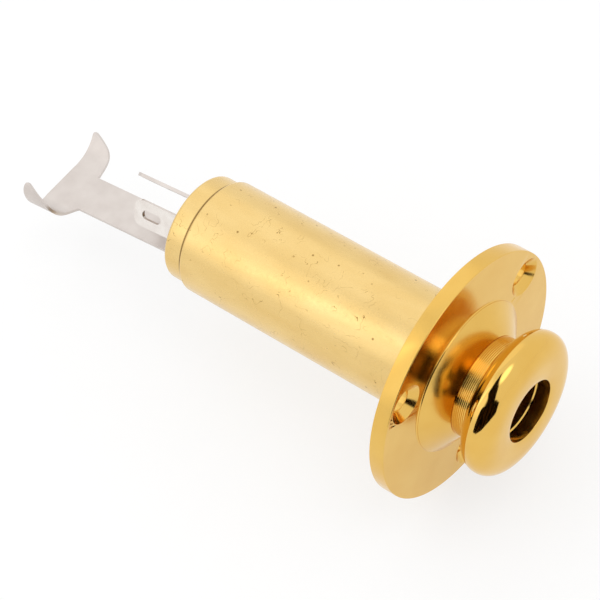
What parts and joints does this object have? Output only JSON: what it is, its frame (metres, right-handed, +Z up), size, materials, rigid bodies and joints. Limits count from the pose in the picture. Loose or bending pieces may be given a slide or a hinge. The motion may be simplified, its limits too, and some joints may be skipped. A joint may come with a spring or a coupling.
{
  "type": "endpin jack",
  "caption": "Flange-mounted endpin jack: a mouth for a plug inside a strap button, a long barrel with two contact springs, solder lugs and an open cable clamp behind.",
  "frame": {"origin": "centre of the flange's back face, on the axis of the plug's bore, where the jack seats on the instrument", "axes": "+X out of the mouth along the jack's axis, +Z up, away from the sleeve terminal's strip"},
  "size_m": [0.0598, 0.026, 0.026],
  "materials": {
    "polished_gold": "polished gold plate",
    "satin_gold": "satin gold plate",
    "silver_plate": "dull silver plate",
    "spring_bronze": "bright rolled",
    "eyelet_brass": "bright",
    "black_phenolic": "moulded",
    "laminate": "punched sheet",
    "liner_film": "rolled film"
  },
  "bodies": {
    "body": {"strap_button": "polished_gold", "mounting_flange": "polished_gold", "jack_sleeve": "polished_gold", "barrel_shell": "satin_gold", "insulating_liner": "liner_film", "rear_collar": "satin_gold", "contact_block": "black_phenolic", "front_spacer": "laminate", "rear_spacer": "laminate", "rear_washer": "laminate", "stack_eyelet": "eyelet_brass", "tip_terminal": "silver_plate", "ring_terminal": "silver_plate", "sleeve_terminal": "silver_plate"},
    "tip_spring": {"tip_spring": "spring_bronze"},
    "ring_spring": {"ring_spring": "spring_bronze"}
  },
  "joints": [
    {"name": "tip_spring_flex", "type": "hinge", "parent": "body", "child": "tip_spring", "pos_m": [-0.0269, 0, 0.00425], "axis": [0, -1, 0], "range_deg": [0, 5.6], "stiffness_Nm_per_rad": 0.12},
    {"name": "ring_spring_flex", "type": "hinge", "parent": "body", "child": "ring_spring", "pos_m": [-0.02785, -0.00368, -0.00213], "axis": [0, 0.5, -0.866], "range_deg": [0, 1.9], "stiffness_Nm_per_rad": 0.6}
  ]
}
